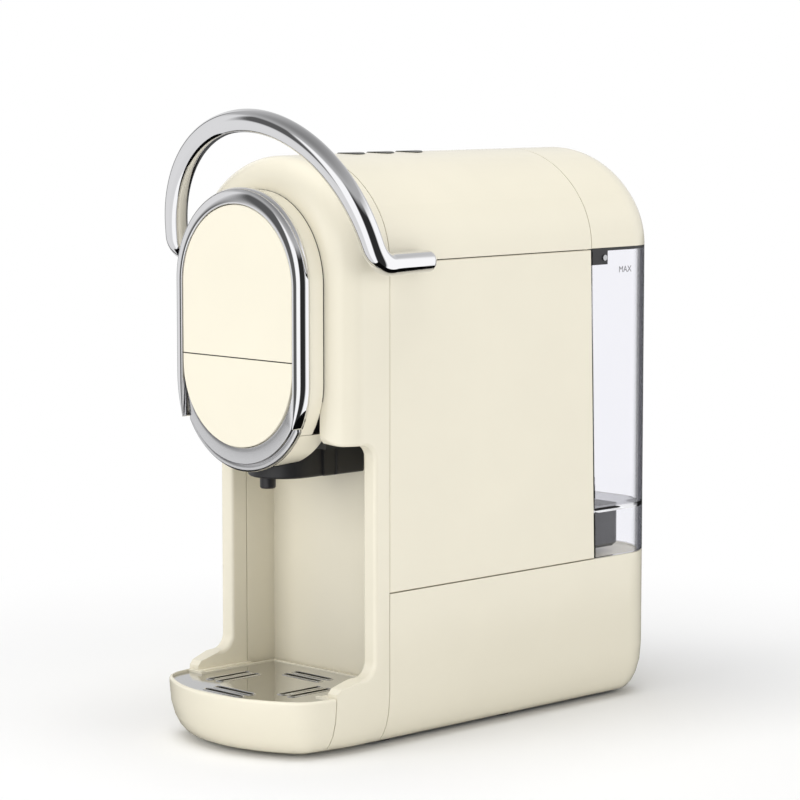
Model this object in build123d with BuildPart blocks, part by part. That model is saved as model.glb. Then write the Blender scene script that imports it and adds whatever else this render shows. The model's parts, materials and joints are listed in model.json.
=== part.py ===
from build123d import *
import math
import os

# Pod coffee machine. Millimetres, +Z up, front towards -Y.
# The origin is on the table under the middle of the machine's box.

# Body
body_width = 112.0
wall = 2.5
seam = 0.5
slip = 0.3
foot_height = 2.0
lower_seam_z = 76.5
upper_seam_z = 237.0
crown_rise = 50.0
dome_side_radius = 44.0
hood_front_y = -98.7
hood_edge_radius = 15.0
hood_corner_radius = 6.0
front_seam_y = -67.0
tank_front_y = 78.0
tank_lean = 4.0
rear_y = 135.0
rear_radius = 26.0
bottom_inset = 11.5
bottom_rise = 25.0
bottom_shares = (0, 0.06, 0.18, 0.36, 0.62, 1)
ledge_top_z = 15.0
lid_gap = 0.2
panel_chamfer = 0.4

# Nose of the base and the drip tray
nose_front_y = -135.0
nose_turn_y = -86.0
nose_taper = 5.0
nose_bow = 19.0
nose_corner_radius = 20.0
tray_seam_y = -100.0
tray_rim_z = 29.5
tray_floor_z = 8.0
tray_wall = 2.5
tray_rim_radius = 1.2
tray_tail_z = 6.0
tray_tail_y = -52.0
tail_inset = 4.3
grid_thickness = 1.5
grid_sink = 1.2
grid_ledge = 1.0
slot_width = 3.0
slot_length = 26.0
slot_pitch = 7.0
slot_ring = 26.0

# Cup bay
column_width = 8.7
bay_floor_z = 30.5
bay_roof_z = 150.0
bay_wall_y = -48.0
column_front_y = -76.5
column_top_fillet = 7.0
column_foot_fillet = 7.5
lug_front_z = 33.5
lug_back_z = 37.0
lug_chamfer = 2.5
column_edge_radius = 2.0

# Brew head
face_y = -115.0
face_half_width = 39.4
face_top_z = 264.6
face_bottom_z = 147.0
face_split_z = 190.6
ring_width = 6.1
ring_over = 7.9
bezel_drop = 12.0
ring_depth = 6.5
ring_edge_radius = 2.4
face_edge_radius = 0.4
ring_tip_z = 159.0
horn_top_z = 178.0
bezel_depth = 5.0
bezel_chamfer = 1.6
collar_step = 1.5
collar_inset = 3.0
web_thickness = 2.0
web_gap = 1.7
trough_top_z = 155.0
trough_wall = 2.5
trough_rear_y = -89.5
drain_radius = 3.0

# Spout
spout_bottom_z = 131.0
spout_half_width = 17.5
spout_front_y = -102.0
spout_step = 1.2
spout_step_y = -75.0
spout_edge_radius = 1.5
groove_radius = 1.0
groove_y = -67.0
channel_z = 140.0
shoulder_half_width = 35.0
shoulder_thickness = 3.0
nozzle_y = -95.0
nozzle_radius = 3.9
nozzle_tip_z = 125.5
nozzle_bore_radius = 2.0
nozzle_chamfer = 0.6

# Capsule basket and its carrier
basket_y = -79.0
basket_rim_z = 184.0
basket_rim_reach = 4.0
basket_rim_thickness = 2.0
basket_top_radius = 21.0
basket_taper = 3.0
basket_depth = 32.0
basket_wall = 1.2
carrier_half_width = 31.5
carrier_rear_y = -52.0
lip_gap = 2.2
lip_thickness = 3.0
lip_drop = 1.0
rail_thickness = 3.5

# Piston and lever
piston_over = 1.0
seal_gap = 0.5
seal_thickness = 2.0
seal_width = 4.0
piston_height = 27.0
piston_chamfer = 2.0
needle_radius = 2.0
needle_tip_radius = 0.3
pivot_y = -49.5
shaft_radius = 3.0
shaft_seat = 2.0
running_gap = 0.05
bush_wall = 1.0
crank_radius = 10.0
crank_start_angle = 40.0
crank_plate_x = 20.0
crank_plate_thickness = 4.0
crank_pin_radius = 2.5
pin_slot_gap = 0.5
cheek_x = 25.2
cheek_thickness = 4.0
cheek_front_y = -72.0
cheek_top = 8.0
cheek_gap = 1.5
carriage_gap = 1.0
carriage_front_y = -99.0
carriage_thickness = 5.0
feed_radius = 3.0
feed_bore_radius = 1.8
feed_drop = 16.0
boss_radius = 6.0
boss_length = 24.0
rod_x = 33.0
guide_rod_radius = 3.0
frame_plate_x = 37.0
frame_plate_thickness = 4.0
frame_foot_z = 188.0
frame_foot_thickness = 3.0
frame_rise = 25.0
frame_plate_front_y = -62.0
frame_back_y = -34.0
bridge_front_y = -88.0

# Handle
rod_width = 10.8
rod_corner = 4.2
rod_end_radius = 3.8
stub_gap = 0.6
stub_rear_y = -44.5
bend_lift = 0.4
bend_radius = 11.0
arch_reach = 15.0
arch_tilt = 14.7
arch_foot_y = -89.0
arch_foot_drop = 1.4
arch_spring = 12.0

# Buttons
button_radius = 6.9
button_pitch = 20.2
button_first_y = -38.5
button_proud = 0.5
button_travel = 1.5
button_chamfer = 0.3
stem_radius = 2.5
flange_thickness = 1.0
flange_reach = 1.0
button_skirt = 5.5
board_drop = 16.5
board_thickness = 1.6
board_half_width = 20.0
board_margin = 14.0
pillar_inset = 5.0
pillar_margin = 10.0
pillar_radius = 3.0
switch_size = 6.0
switch_body_height = 3.5
switch_height = 4.6
switch_tip_radius = 1.6

# Tank
tank_bottom_z = 77.0
tank_floor_z = 100.0
tank_wall = 2.5
rim_height = 1.4
ear_length = 12.0
ear_height = 7.0
rivet_radius = 1.5
rivet_height = 0.6
rivet_margin = 2.5
valve_y = 100.0
valve_half_width = 46.0
valve_front_y = 85.0
valve_length = 27.0
valve_height = 20.5
valve_corner = 5.0
valve_chamfer = 2.0
plunger_radius = 3.0
plunger_gap = 1.0
plunger_head_height = 2.0
spigot_radius = 6.0
spigot_height = 10.0
spigot_clearance = 3.0
seat_pipe_z = 64.0
seal_ring_width = 4.0
seal_ring_height = 2.0

# Things inside the body
plate_margin = 14.0
plate_ledge = 5.0
vent_rows = (44.0, 50.0, 56.0, 62.0)
vent_length = 40.0
vent_width = 2.5
foot_radius = 8.0
foot_chamfer = 0.8
foot_rows = ((33.0, -54.0), (33.0, 31.0), (29.0, 105.0))
screw_radius = 1.2
screw_head_radius = 2.0
screw_head_depth = 1.2
screw_length = 10.0
screw_rows = (-40.0, 20.0, 90.0)
pump_radius = 17.0
pump_z = 45.0
pump_front_y = -25.0
pump_length = 68.0
pump_nose_radius = 7.0
pump_nose_length = 10.0
pump_tail_radius = 8.5
pump_tail_length = 12.0
mount_width = 8.0
mount_wall = 4.0
mount_offsets = (14.0, 44.0)
heater_width = 46.0
heater_length = 56.0
heater_base_z = 150.0
heater_height = 36.0
heater_gap = 0.75
heater_corner_radius = 6.0
heater_port_rise = 15.0
fin_gap = 4.0
fin_depth = 6.0
fin_gaps = 5
meter_radius = 13.0
meter_height = 18.0
meter_cap_radius = 5.0
meter_cap_height = 6.0
meter_port_z = 16.0
meter_x = 20.0
meter_y = 88.0
hose_radius = 3.0
hose_bend = 9.0
hose_level_z = 48.0
hose_dip = 14.0
hose_inset = 12.0
hose_reach = 20.0
riser_y = -41.0
brew_riser_y = -22.0
brew_hose_drop = 11.0
grommet_x = -18.0
grommet_z = 30.0
grommet_radius = 6.0

half_width = body_width / 2
crown_z = upper_seam_z + crown_rise
nose_half_width = half_width - nose_taper
bay_half_width = half_width - column_width
tray_tail_half_width = bay_half_width - tail_inset
dome_side_x = half_width - dome_side_radius
dome_lift = crown_rise - dome_side_radius
dome_top_drop = (dome_side_x**2 - dome_lift**2) / (2 * dome_lift)
dome_top_radius = crown_rise + dome_top_drop
dome_join_angle = math.degrees(math.atan2(dome_top_drop, dome_side_x))
ring_half_width = face_half_width + ring_width
ring_top_z = face_top_z + ring_over
ring_bottom_z = face_bottom_z - bezel_drop
collar_half_width = ring_half_width - collar_step
face_upper_centre_z = face_top_z - face_half_width
face_lower_centre_z = face_bottom_z + face_half_width
ring_upper_centre_z = ring_top_z - ring_half_width
ring_lower_centre_z = ring_bottom_z + ring_half_width
tank_top_z = upper_seam_z - rim_height
tank_foot_y = tank_front_y + tank_lean
bush_radius = shaft_radius + running_gap + bush_wall
lid_foot_z = upper_seam_z + lid_gap
collar_bore = collar_half_width - collar_inset
lip_half_width = collar_bore - lip_gap
collar_back_y = hood_front_y - seam
collar_front_y = face_y - seam + ring_depth
basket_base_z = basket_rim_z - basket_depth
basket_rim_radius = basket_top_radius + basket_rim_reach
basket_base_radius = basket_top_radius - basket_taper
piston_radius = basket_top_radius + piston_over
web_back_y = basket_y - piston_radius - web_gap
web_front_y = web_back_y - web_thickness
lip_z = basket_rim_z - basket_rim_thickness - lip_thickness - lip_drop
piston_base_z = basket_rim_z + seal_gap + seal_thickness
carriage_z = piston_base_z + piston_height
plate_top_z = foot_height + wall
pivot_z = upper_seam_z
frame_top_z = pivot_z + frame_rise
feed_top_z = frame_top_z - feed_drop
boss_foot_z = frame_top_z - boss_length
brew_hose_z = frame_top_z - brew_hose_drop
stub_x = half_width + stub_gap + rod_width / 2
bend_z = pivot_z + bend_lift
arch_radius = half_width + arch_reach
arch_foot_z = pivot_z - arch_foot_drop
crank_pin_y = pivot_y - crank_radius * math.cos(math.radians(crank_start_angle))
crank_pin_z = pivot_z - crank_radius * math.sin(math.radians(crank_start_angle))
board_z = crown_z - board_drop
button_rows = [button_first_y + i * button_pitch for i in range(3)]
screw_x = half_width - plate_margin - plate_ledge / 2
screw_places = [(side * screw_x, y) for side in (-1, 1) for y in screw_rows]
foot_places = [(side * x, y) for x, y in foot_rows for side in (-1, 1)]
shaft_end_x = stub_x + shaft_seat
grid_top_z = tray_rim_z - grid_sink
heater_port_z = heater_base_z + heater_port_rise
meter_top_z = plate_top_z + meter_height + meter_cap_height
pump_back_y = pump_front_y + pump_length

os.makedirs("parts", exist_ok=True)


def at_y(y):
    """Upright plane across the machine at this y, facing the front."""
    return Plane.XZ.offset(-y)


def at_x(x):
    """Upright plane along the machine at this x, facing the right side."""
    return Plane.YZ.offset(x)


def at_z(z):
    """Level plane at this height."""
    return Plane.XY.offset(z)


def block(low, high, mode=Mode.ADD):
    """A box between two opposite corners."""
    size = [b - a for a, b in zip(low, high)]
    centre = [(a + b) / 2 for a, b in zip(low, high)]
    with Locations(tuple(centre)):
        Box(*size, mode=mode)


def bar(start, end, radius, mode=Mode.ADD):
    """A round bar from one point to another."""
    run = Vector(*end) - Vector(*start)
    with Locations(Plane(origin=start, z_dir=run)):
        Cylinder(radius, run.length, align=(Align.CENTER, Align.CENTER, Align.MIN), mode=mode)


def arch(inset, foot_z):
    """Cross-section of the body: straight sides under a crown of three arcs, drawn in by the inset."""
    side = half_width - inset
    side_radius = dome_side_radius - inset
    top_turn = 180 - 2 * dome_join_angle
    with BuildSketch() as outline:
        with BuildLine():
            foot = Line((-side, foot_z), (side, foot_z))
            Line(foot @ 1, (side, upper_seam_z))
            CenterArc((dome_side_x, upper_seam_z), side_radius, 0, dome_join_angle)
            CenterArc((0, upper_seam_z - dome_top_drop), dome_top_radius - inset, dome_join_angle, top_turn)
            CenterArc((-dome_side_x, upper_seam_z), side_radius, 180 - dome_join_angle, dome_join_angle)
            Line((-side, upper_seam_z), foot @ 0)
        make_face()
    return outline.sketch


def dome(inset, foot_z):
    """The upper half of the same cross-section, from a foot at or above the upper seam."""
    with BuildSketch() as outline:
        add(arch(inset, lower_seam_z))
        with Locations((0, foot_z)):
            Rectangle(2 * body_width, 2 * crown_z, align=(Align.CENTER, Align.MIN), mode=Mode.INTERSECT)
    return outline.sketch


def obround(radius, upper_z, lower_z):
    """Upright face with a half-round top and bottom, between two arc centres."""
    with BuildSketch() as outline:
        with Locations((0, (upper_z + lower_z) / 2)):
            SlotCenterToCenter(upper_z - lower_z, 2 * radius, rotation=90)
    return outline.sketch


def base_plan(inset):
    """Plan of the base: straight sides, round rear corners and a bowed nose."""
    corner_y = nose_front_y + nose_bow
    with BuildSketch() as plan:
        with BuildLine():
            Polyline(
                (-nose_half_width, corner_y),
                (-half_width, nose_turn_y),
                (-half_width, rear_y),
                (half_width, rear_y),
                (half_width, nose_turn_y),
                (nose_half_width, corner_y),
            )
            ThreePointArc((nose_half_width, corner_y), (0, nose_front_y), (-nose_half_width, corner_y))
        make_face()
        fillet(plan.vertices().group_by(Axis.Y)[-1], rear_radius)
        fillet(plan.vertices().group_by(Axis.Y)[0], nose_corner_radius)
        if inset:
            offset(amount=-inset, mode=Mode.REPLACE)
    return plan.sketch


def base_form(inset):
    """The lower body as a block, elliptically rounded under its bottom edge, drawn in by the inset."""
    with BuildPart() as form:
        for share in bottom_shares:
            drawn_in = bottom_inset * (1 - math.sqrt(1 - (1 - share) ** 2))
            with BuildSketch(at_z(foot_height + inset + share * (bottom_rise - inset))):
                add(base_plan(inset + drawn_in))
        with BuildSketch(at_z(lower_seam_z)):
            add(base_plan(inset))
        loft(ruled=True)
    return form.part


def corner_web(corner_z, rise):
    """Concave round between the columns' front and a level face, upwards or, if negative, downwards."""
    with BuildPart() as web:
        with BuildSketch(at_x(-half_width)):
            with BuildLine():
                reach = abs(rise)
                start = (column_front_y - reach, corner_z)
                end = (column_front_y, corner_z + rise)
                bow = reach * (1 - math.sqrt(0.5))
                middle = (column_front_y - bow, corner_z + math.copysign(bow, rise))
                ThreePointArc(start, middle, end)
                Polyline(end, (column_front_y, corner_z), start)
            make_face()
        extrude(amount=body_width)
        with BuildSketch():
            add(base_plan(0))
        extrude(amount=crown_z, mode=Mode.INTERSECT)
    return web.part


def hood_form(inset):
    """The hood as a block with a rounded front edge, drawn in by the inset."""
    with BuildPart() as form:
        with BuildSketch(at_y(front_seam_y)):
            add(arch(inset, bay_roof_z))
        extrude(amount=front_seam_y - hood_front_y - inset)
        front_edges = form.faces().sort_by(Axis.Y)[0].edges().sort_by(Axis.Z)
        fillet(front_edges[1:], hood_edge_radius - inset)
        if not inset:
            with BuildSketch(at_x(-half_width)):
                with Locations((hood_front_y, bay_roof_z)):
                    Rectangle(hood_corner_radius, hood_corner_radius, align=(Align.MIN, Align.MIN))
                with Locations((hood_front_y + hood_corner_radius, bay_roof_z + hood_corner_radius)):
                    Circle(hood_corner_radius, mode=Mode.SUBTRACT)
            extrude(amount=body_width, mode=Mode.SUBTRACT)
    return form.part


def cap_form(inset):
    """The rear cap as a block with its rear edge rounded over, drawn in by the inset."""
    with BuildPart() as form:
        with BuildSketch(at_y(rear_y - inset)):
            add(dome(inset, lid_foot_z))
        extrude(amount=rear_y - tank_front_y - 2 * inset)
        rear_edges = form.faces().sort_by(Axis.Y)[-1].edges().sort_by(Axis.Z)
        fillet(rear_edges[1:], rear_radius - inset)
    return form.part


def tank_plan(inset):
    """Plan of the tank: square in front, with round rear corners."""
    with BuildSketch() as plan:
        with Locations((0, tank_front_y + inset)):
            Rectangle(body_width - 2 * inset, rear_y - tank_front_y - 2 * inset,
                      align=(Align.CENTER, Align.MIN))
        fillet(plan.vertices().group_by(Axis.Y)[-1], rear_radius - inset)
    return plan.sketch


def tank_front_at(z):
    """Where the leaning front wall of the tank is at this height."""
    return tank_front_y + tank_lean * (tank_top_z - z) / (tank_top_z - tank_bottom_z)


def tank_form(inset, foot_z, top_z):
    """The tank as a block whose front wall leans back towards its foot."""
    with BuildPart() as form:
        with BuildSketch(at_z(foot_z)):
            add(tank_plan(inset))
        extrude(amount=top_z - foot_z)
        with BuildSketch(at_x(-body_width)):
            with BuildLine():
                Polyline(
                    (tank_front_at(foot_z) + inset, foot_z),
                    (rear_y, foot_z),
                    (rear_y, top_z),
                    (tank_front_at(top_z) + inset, top_z),
                    close=True,
                )
            make_face()
        extrude(amount=2 * body_width, mode=Mode.INTERSECT)
    return form.part


def slice_of_base(front_y, back_y, top_z):
    """The part of the base between two upright planes and below a height."""
    with BuildPart() as piece:
        add(whole_base)
        block((-body_width, front_y, 0), (body_width, back_y, top_z), Mode.INTERSECT)
    return piece.part


def nose_inside(inset, foot_z, top_z):
    """Space inside the drip tray, bowed in front and straight in its tail."""
    with BuildPart() as space:
        with BuildSketch(at_z(foot_z)):
            add(base_plan(inset))
            front = (tray_seam_y + nose_front_y) / 2
            depth = tray_seam_y - nose_front_y
            with Locations((0, front)):
                Rectangle(body_width, depth - 2 * tray_wall, mode=Mode.INTERSECT)
            tail = tray_tail_y - tray_seam_y
            with Locations((0, tray_seam_y - tray_wall)):
                Rectangle(
                    2 * (tray_tail_half_width - inset),
                    tail - inset + tray_wall,
                    align=(Align.CENTER, Align.MIN),
                )
        extrude(amount=top_z - foot_z)
    return space.part


def tray_hollow():
    """Room for the drips: the space inside the tray, following the round under its outer wall."""
    with BuildPart() as hollow:
        add(nose_inside(tray_wall, tray_floor_z, lower_seam_z))
        add(base_form(tray_wall), mode=Mode.INTERSECT)
    return hollow.part


def keep(piece, name):
    """Name a finished piece and write it to its own file."""
    piece.part.label = name
    export_step(piece.part, "parts/" + name + ".step")


whole_base = base_form(0)

# Front shell: hood, columns and the two lugs that hold the drip tray, in one moulding
with BuildPart() as front_shell:
    add(hood_form(0))
    block((-half_width, column_front_y, foot_height + bottom_rise), (half_width, front_seam_y, bay_roof_z))
    add(corner_web(bay_roof_z, -column_top_fillet))
    add(corner_web(lug_back_z, column_foot_fillet))
    add(slice_of_base(tray_seam_y + seam / 2, front_seam_y, lug_back_z))
    with BuildSketch(at_x(-half_width)):
        with BuildLine():
            Polyline(
                (tray_seam_y, lug_front_z - lug_chamfer),
                (tray_seam_y + lug_chamfer, lug_front_z),
                (column_front_y - column_foot_fillet, lug_back_z),
                (tray_seam_y, 2 * lug_back_z),
                close=True,
            )
        make_face()
    extrude(amount=body_width, mode=Mode.SUBTRACT)
    add(hood_form(wall), mode=Mode.SUBTRACT)
    block((-bay_half_width, nose_front_y, tray_rim_z),
          (bay_half_width, front_seam_y, bay_roof_z), Mode.SUBTRACT)
    add(nose_inside(-slip, tray_tail_z - slip, bay_floor_z), mode=Mode.SUBTRACT)
    with BuildSketch(at_y(front_seam_y)):
        add(obround(collar_bore, ring_upper_centre_z, ring_lower_centre_z))
        with Locations((0, bay_roof_z)):
            Rectangle(2 * collar_bore, ring_lower_centre_z - bay_roof_z,
                      align=(Align.CENTER, Align.MIN))
    extrude(amount=front_seam_y - nose_front_y, mode=Mode.SUBTRACT)
    upright_edges = front_shell.edges().filter_by(Axis.Z)
    column_edges = upright_edges.filter_by_position(Axis.Y, column_front_y - slip, column_front_y + slip)
    fillet(column_edges.sort_by(SortBy.LENGTH)[-4:], column_edge_radius)
keep(front_shell, "front_shell")

# Flat side panels, with a half hole for the lever's bush in the top edge
for side, name in ((1, "side_panel_right"), (-1, "side_panel_left")):
    with BuildPart() as side_panel:
        with BuildSketch(at_x(side * (half_width - wall / 2))):
            with BuildLine():
                Polyline(
                    (front_seam_y + seam, lower_seam_z + seam),
                    (tank_front_at(lower_seam_z) - seam, lower_seam_z + seam),
                    (tank_front_at(upper_seam_z) - seam, upper_seam_z - seam),
                    (front_seam_y + seam, upper_seam_z - seam),
                    close=True,
                )
            make_face()
        extrude(amount=wall / 2, both=True)
        chamfer(side_panel.faces().sort_by(Axis.X)[-1 if side > 0 else 0].edges(), panel_chamfer)
        bar((-stub_x, pivot_y, pivot_z), (stub_x, pivot_y, pivot_z), bush_radius + slip, Mode.SUBTRACT)
    keep(side_panel, name)

# Domed cover with the three button holes and the pillars of the circuit board
with BuildPart() as top_cover:
    with BuildSketch(at_y(tank_front_y - seam)):
        add(dome(0, upper_seam_z))
        add(arch(wall, lower_seam_z), mode=Mode.SUBTRACT)
    extrude(amount=tank_front_y - front_seam_y - 2 * seam)
    for x in (-board_half_width + pillar_inset, board_half_width - pillar_inset):
        for y in (button_rows[0] - pillar_margin, button_rows[-1] + pillar_margin):
            bar((x, y, board_z + board_thickness), (x, y, crown_z - wall - seam), pillar_radius)
    with BuildSketch(at_z(crown_z + wall)):
        with Locations([(0, y) for y in button_rows]):
            Circle(button_radius + slip)
    extrude(amount=-3 * wall, mode=Mode.SUBTRACT)
    bar((-stub_x, pivot_y, pivot_z), (stub_x, pivot_y, pivot_z), bush_radius + slip, Mode.SUBTRACT)
keep(top_cover, "top_cover")

# Tub of the base, with a ledge round the bottom plate and a platform under the tank
with BuildPart() as base_housing:
    add(slice_of_base(front_seam_y + seam, rear_y + wall, lower_seam_z))
    for inset, low, high in (
        (plate_margin, 0, plate_top_z),
        (plate_margin + plate_ledge, plate_top_z, ledge_top_z),
        (wall + seam, ledge_top_z, lower_seam_z - wall),
    ):
        with BuildSketch(at_z(low)):
            add(base_plan(inset))
        extrude(amount=high - low, mode=Mode.SUBTRACT)
    block((-half_width + wall + seam, front_seam_y, ledge_top_z),
          (half_width - wall - seam, tank_foot_y - 2 * wall, lower_seam_z + wall), Mode.SUBTRACT)
    bar((0, valve_y, lower_seam_z + wall), (0, valve_y, lower_seam_z - 2 * wall),
        spigot_radius, Mode.SUBTRACT)
    bar((grommet_x, rear_y + wall, grommet_z), (grommet_x, rear_y - 3 * wall, grommet_z),
        grommet_radius, Mode.SUBTRACT)
    add(nose_inside(-slip, tray_tail_z - slip, bay_floor_z), mode=Mode.SUBTRACT)
    for x, y in screw_places:
        bar((x, y, 0), (x, y, foot_height + screw_length), screw_radius, Mode.SUBTRACT)
keep(base_housing, "base_housing")

# Bottom plate with countersunk screw holes and a row of vents
with BuildPart() as base_plate:
    with BuildSketch(at_z(foot_height)):
        add(base_plan(plate_margin + slip))
        with Locations((0, front_seam_y + seam)):
            Rectangle(2 * body_width, 2 * rear_y, align=(Align.CENTER, Align.MIN), mode=Mode.INTERSECT)
        with Locations([(0, y) for y in vent_rows]):
            SlotOverall(vent_length, vent_width, mode=Mode.SUBTRACT)
    extrude(amount=wall)
    for x, y in screw_places:
        bar((x, y, 0), (x, y, crown_z), screw_radius, Mode.SUBTRACT)
        bar((x, y, 0), (x, y, plate_top_z - screw_head_depth), screw_head_radius, Mode.SUBTRACT)
keep(base_plate, "base_plate")

# Screws of the bottom plate, as one group
with BuildPart() as case_screws:
    for x, y in screw_places:
        bar((x, y, plate_top_z - screw_head_depth), (x, y, foot_height + screw_length), screw_radius)
        bar((x, y, foot_height), (x, y, plate_top_z - screw_head_depth), screw_head_radius)
keep(case_screws, "case_screws")

# Rubber feet with a bevelled rim, as one group
with BuildPart() as rubber_feet:
    with Locations([(x, y, 0) for x, y in foot_places]):
        Cylinder(foot_radius, foot_height, align=(Align.CENTER, Align.CENTER, Align.MIN))
    chamfer(rubber_feet.edges().group_by(Axis.Z)[0], foot_chamfer)
keep(rubber_feet, "rubber_feet")

# Bush where the mains lead enters, set flush in the rear wall
with BuildPart() as cord_grommet:
    bar((grommet_x, rear_y, grommet_z), (grommet_x, rear_y - wall - seam, grommet_z), grommet_radius)
    bar((grommet_x, rear_y - wall - seam, grommet_z), (grommet_x, rear_y - 2 * wall - seam, grommet_z),
        grommet_radius + wall)
    bar((grommet_x, rear_y, grommet_z), (grommet_x, rear_y - 3 * wall, grommet_z),
        grommet_radius / 2, Mode.SUBTRACT)
keep(cord_grommet, "cord_grommet")

# Wall and roof of the cup bay
with BuildPart() as cup_bay_liner:
    block((-bay_half_width, bay_wall_y, ledge_top_z), (bay_half_width, bay_wall_y + wall, bay_roof_z))
    for side in (-1, 1):
        near, far = sorted((side * bay_half_width, side * (bay_half_width + wall)))
        block((near, front_seam_y + seam, ledge_top_z), (far, bay_wall_y + wall, bay_roof_z))
        near, far = sorted((side * (shoulder_half_width + seam), side * (half_width - wall - slip)))
        block((near, hood_front_y + hood_edge_radius, bay_roof_z),
              (far, bay_wall_y + wall, bay_roof_z + wall))
keep(cup_bay_liner, "cup_bay_liner")

# Plate that closes the body in front of the tank, leaning with the tank's front wall
with BuildPart() as rear_bulkhead:
    with BuildSketch(at_x(0)):
        with BuildLine():
            Polyline(
                (tank_front_at(lower_seam_z) - seam, lower_seam_z),
                (tank_front_at(upper_seam_z) - seam, upper_seam_z - seam),
                (tank_front_at(upper_seam_z) - seam - wall, upper_seam_z - seam),
                (tank_front_at(lower_seam_z) - seam - wall, lower_seam_z),
                close=True,
            )
        make_face()
    extrude(amount=half_width - wall - slip, both=True)
    with BuildSketch(at_y(tank_front_y - seam)):
        add(arch(wall + slip, upper_seam_z - seam))
        with Locations((0, 0)):
            Rectangle(body_width, 2 * (upper_seam_z - seam), mode=Mode.SUBTRACT)
    extrude(amount=wall)
keep(rear_bulkhead, "rear_bulkhead")

# Collar of the brew head, with a web behind the upper face
with BuildPart() as head_collar:
    with BuildSketch(at_y(collar_back_y)):
        add(obround(collar_half_width, ring_upper_centre_z, ring_lower_centre_z))
        add(obround(collar_bore, ring_upper_centre_z, ring_lower_centre_z), mode=Mode.SUBTRACT)
        with Locations((0, trough_top_z + slip)):
            Rectangle(body_width, crown_z, align=(Align.CENTER, Align.MIN), mode=Mode.INTERSECT)
    extrude(amount=collar_back_y - collar_front_y)
    with BuildSketch(at_y(web_back_y)):
        add(obround(collar_bore, ring_upper_centre_z, ring_lower_centre_z))
        with Locations((0, face_split_z + slip)):
            Rectangle(body_width, crown_z, align=(Align.CENTER, Align.MIN), mode=Mode.INTERSECT)
    extrude(amount=web_thickness)
keep(head_collar, "head_collar")

# Polished ring: a rounded band whose legs are cut to points by the round of the lower face
with BuildPart() as upper_ring_trim:
    with BuildSketch(at_y(collar_front_y)):
        add(obround(ring_half_width, ring_upper_centre_z, 0))
        add(obround(face_half_width, face_upper_centre_z, 0), mode=Mode.SUBTRACT)
    extrude(amount=ring_depth)
    fillet(upper_ring_trim.faces().sort_by(Axis.Y)[0].edges(), ring_edge_radius)
    with BuildSketch(at_y(collar_front_y)):
        add(obround(ring_half_width, ring_upper_centre_z, ring_lower_centre_z))
        with Locations((0, ring_tip_z)):
            Rectangle(body_width, crown_z, align=(Align.CENTER, Align.MIN), mode=Mode.INTERSECT)
    extrude(amount=2 * ring_depth, mode=Mode.INTERSECT)
keep(upper_ring_trim, "upper_ring_trim")

# Fixed upper face, a shallow cap that stands on the collar's web
with BuildPart() as upper_face_plate:
    with BuildSketch(at_y(web_front_y)) as upper_face:
        add(obround(face_half_width - slip, face_upper_centre_z, face_lower_centre_z))
        with Locations((0, face_split_z + seam / 2)):
            Rectangle(body_width, crown_z, align=(Align.CENTER, Align.MIN), mode=Mode.INTERSECT)
    extrude(amount=web_front_y - face_y)
    with BuildSketch(at_y(web_front_y)):
        offset(upper_face.sketch_local, amount=-wall)
    extrude(amount=web_front_y - face_y - wall, mode=Mode.SUBTRACT)
    fillet(upper_face_plate.faces().sort_by(Axis.Y)[0].edges(), face_edge_radius)
keep(upper_face_plate, "upper_face_plate")

# Lower face, which is the front of the capsule drawer
with BuildPart() as drawer_face:
    with BuildSketch(at_y(collar_front_y)):
        add(obround(face_half_width - slip, face_upper_centre_z, face_lower_centre_z))
        with Locations((0, face_split_z - seam / 2)):
            Rectangle(body_width, crown_z, align=(Align.CENTER, Align.MAX), mode=Mode.INTERSECT)
    extrude(amount=collar_front_y - face_y)
    fillet(drawer_face.faces().sort_by(Axis.Y)[0].edges(), face_edge_radius)
keep(drawer_face, "drawer_face")

# Satin crescent below the lower face, between the legs of the ring
with BuildPart() as drawer_bezel:
    with BuildSketch(at_y(collar_front_y)):
        add(obround(ring_half_width, ring_upper_centre_z, ring_lower_centre_z))
        add(obround(face_half_width, face_upper_centre_z, face_lower_centre_z), mode=Mode.SUBTRACT)
        with Locations((0, horn_top_z)):
            Rectangle(2 * (face_half_width - slip), crown_z, align=(Align.CENTER, Align.MAX),
                      mode=Mode.INTERSECT)
    extrude(amount=bezel_depth)
    front_arcs = drawer_bezel.faces().sort_by(Axis.Y)[0].edges().filter_by(GeomType.CIRCLE)
    chamfer(front_arcs.sort_by(SortBy.RADIUS)[-1], bezel_chamfer)
keep(drawer_bezel, "drawer_bezel")

# Trough under the head, open on top, with an end wall
with BuildPart() as drawer_trough:
    with BuildSketch(at_y(trough_rear_y)):
        with Locations((0, ring_lower_centre_z)):
            Circle(collar_half_width)
        with Locations((0, trough_top_z)):
            Rectangle(body_width, crown_z, align=(Align.CENTER, Align.MAX), mode=Mode.INTERSECT)
    extrude(amount=trough_rear_y - collar_front_y)
    with BuildSketch(at_y(trough_rear_y - trough_wall)):
        with Locations((0, ring_lower_centre_z)):
            Circle(collar_half_width - trough_wall)
    extrude(amount=trough_rear_y - collar_front_y, mode=Mode.SUBTRACT)
    bar((0, basket_y, basket_base_z - seam), (0, basket_y, crown_z), basket_top_radius + seam, Mode.SUBTRACT)
keep(drawer_trough, "drawer_trough")

# Carrier that slides on the rails and holds the basket
with BuildPart() as basket_carrier:
    with BuildSketch(at_y(carrier_rear_y)):
        with Locations((0, trough_top_z)):
            Rectangle(2 * carrier_half_width, basket_rim_z - basket_rim_thickness - trough_top_z,
                      align=(Align.CENTER, Align.MIN))
        with Locations((0, lip_z)):
            Rectangle(2 * lip_half_width, lip_thickness, align=(Align.CENTER, Align.MIN))
    extrude(amount=carrier_rear_y - collar_front_y)
    bar((0, basket_y, 0), (0, basket_y, crown_z), basket_top_radius + slip, Mode.SUBTRACT)
keep(basket_carrier, "basket_carrier")

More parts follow.
